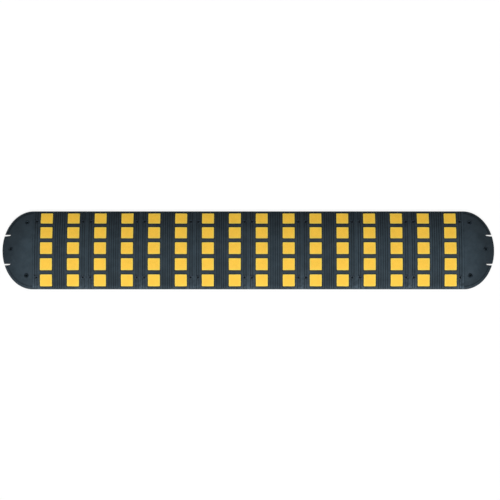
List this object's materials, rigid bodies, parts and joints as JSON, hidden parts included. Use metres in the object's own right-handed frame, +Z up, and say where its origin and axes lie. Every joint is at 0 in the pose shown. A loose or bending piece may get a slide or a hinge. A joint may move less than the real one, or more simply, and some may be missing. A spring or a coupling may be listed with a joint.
{
  "type": "modular speed bump",
  "caption": "Low arched rubber speed bump made of bolted ribbed modules with yellow reflective squares and rounded end caps, to slow traffic across a lane.",
  "frame": {"origin": "centre of the footprint, on the road surface", "axes": "+X along the bump, across the lane; +Y over the bump, in the direction of travel; +Z up"},
  "size_m": [2.286, 0.37, 0.05],
  "materials": {
    "black_rubber": "matt moulded rubber, fine grain, ribbed",
    "reflective_yellow": "satin retro-reflective sheet with fine glass beads",
    "blackened_steel": "dull black phosphated steel"
  },
  "bodies": {
    "root": {"module_1": "black_rubber", "module_1_reflectors_left": "reflective_yellow", "module_1_reflectors_right": "reflective_yellow", "module_1_bolt_bushes": "blackened_steel", "module_2": "black_rubber", "module_2_reflectors_left": "reflective_yellow", "module_2_reflectors_right": "reflective_yellow", "module_2_bolt_bushes": "blackened_steel", "module_3": "black_rubber", "module_3_reflectors_left": "reflective_yellow", "module_3_reflectors_right": "reflective_yellow", "module_3_bolt_bushes": "blackened_steel", "module_4": "black_rubber", "module_4_reflectors_left": "reflective_yellow", "module_4_reflectors_right": "reflective_yellow", "module_4_bolt_bushes": "blackened_steel", "module_5": "black_rubber", "module_5_reflectors_left": "reflective_yellow", "module_5_reflectors_right": "reflective_yellow", "module_5_bolt_bushes": "blackened_steel", "module_6": "black_rubber", "module_6_reflectors_left": "reflective_yellow", "module_6_reflectors_right": "reflective_yellow", "module_6_bolt_bushes": "blackened_steel", "module_7": "black_rubber", "module_7_reflectors_left": "reflective_yellow", "module_7_reflectors_right": "reflective_yellow", "module_7_bolt_bushes": "blackened_steel", "module_8": "black_rubber", "module_8_reflectors_left": "reflective_yellow", "module_8_reflectors_right": "reflective_yellow", "module_8_bolt_bushes": "blackened_steel", "left_end_cap": "black_rubber", "left_cap_bolt_bushes": "blackened_steel", "right_end_cap": "black_rubber", "right_cap_bolt_bushes": "blackened_steel"}
  },
  "joints": []
}
